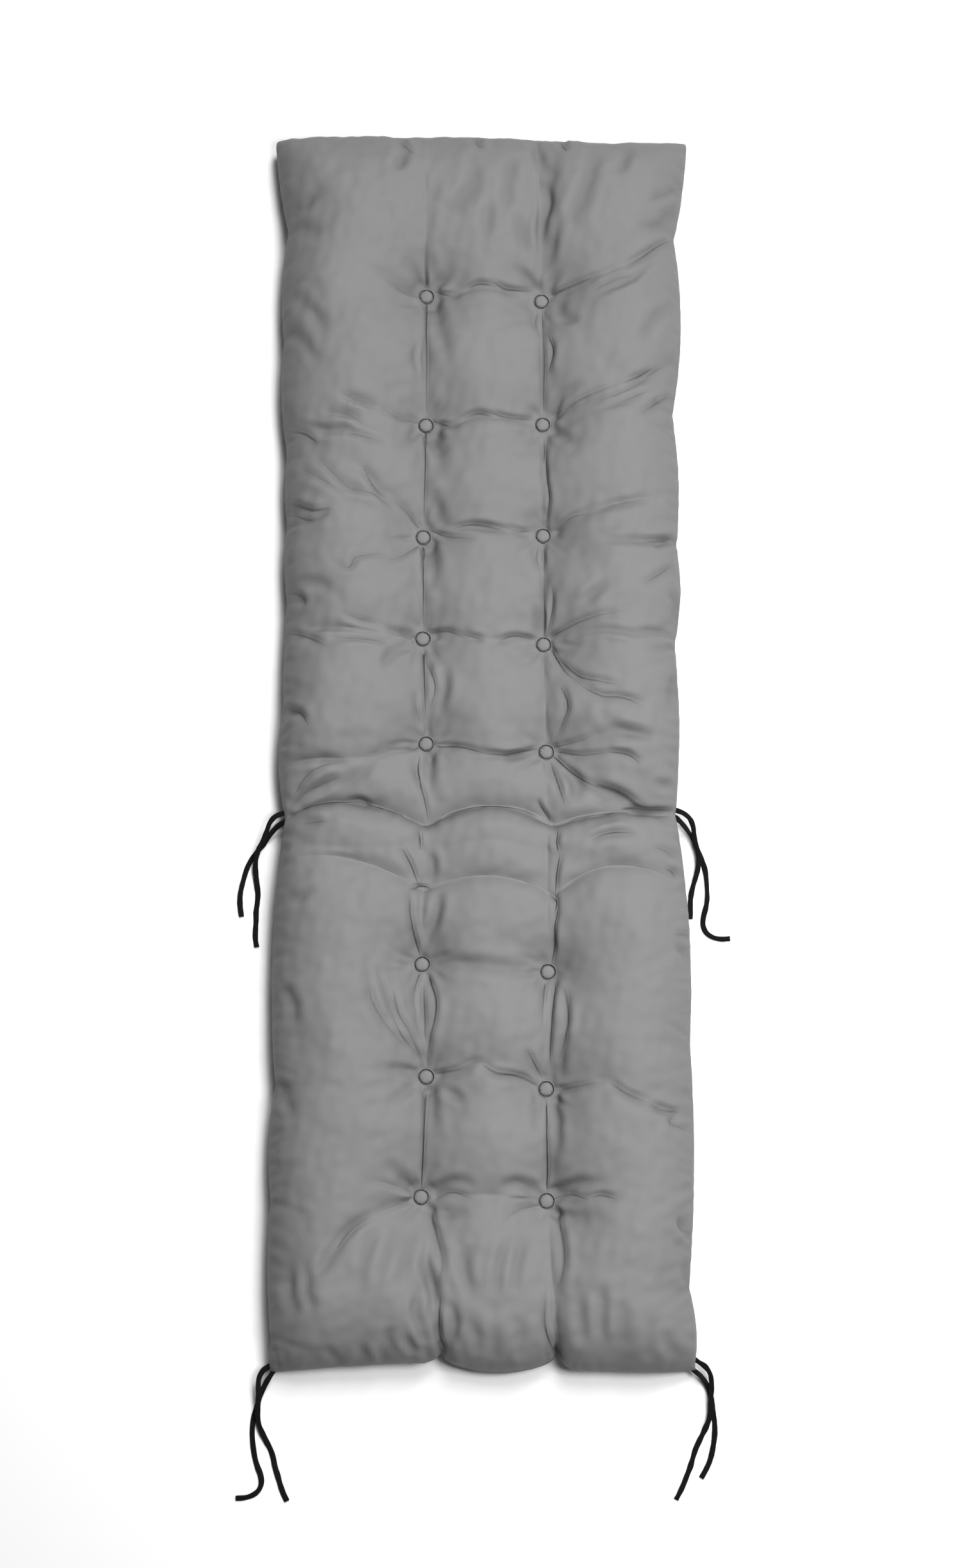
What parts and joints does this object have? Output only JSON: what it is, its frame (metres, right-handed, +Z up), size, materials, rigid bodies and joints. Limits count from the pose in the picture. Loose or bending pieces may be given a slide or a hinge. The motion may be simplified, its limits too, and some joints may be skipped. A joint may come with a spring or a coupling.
{
  "type": "sun lounger cushion",
  "caption": "Long filled lounger pad with buttoned tufts, lengthwise and crosswise creases, a fold line at the hip and tie strings at the hip and foot.",
  "frame": {"origin": "on the ground under the middle of the pad, which lies on its back with the buttoned face up", "axes": "+Y along the pad from its foot to its head, +X from its left to its right seen from above with the head up, +Z up through its thickness"},
  "size_m": [0.6617, 1.8507, 0.0996],
  "materials": {
    "grey_cloth": "matt woven polyester with a faint sheen",
    "grey_button_cloth": "the same cloth drawn tight over a button",
    "black_string": "matt woven string"
  },
  "bodies": {
    "root": {"cushion": "grey_cloth", "button_left_1": "grey_button_cloth", "button_left_2": "grey_button_cloth", "button_left_3": "grey_button_cloth", "button_left_4": "grey_button_cloth", "button_left_5": "grey_button_cloth", "button_left_6": "grey_button_cloth", "button_left_7": "grey_button_cloth", "button_left_8": "grey_button_cloth", "button_right_1": "grey_button_cloth", "button_right_2": "grey_button_cloth", "button_right_3": "grey_button_cloth", "button_right_4": "grey_button_cloth", "button_right_5": "grey_button_cloth", "button_right_6": "grey_button_cloth", "button_right_7": "grey_button_cloth", "button_right_8": "grey_button_cloth", "tie_hip_left_over": "black_string", "tie_hip_left_under": "black_string", "tie_hip_right_over": "black_string", "tie_hip_right_under": "black_string", "tie_foot_left_over": "black_string", "tie_foot_left_under": "black_string", "tie_foot_right_over": "black_string", "tie_foot_right_under": "black_string"}
  },
  "joints": []
}
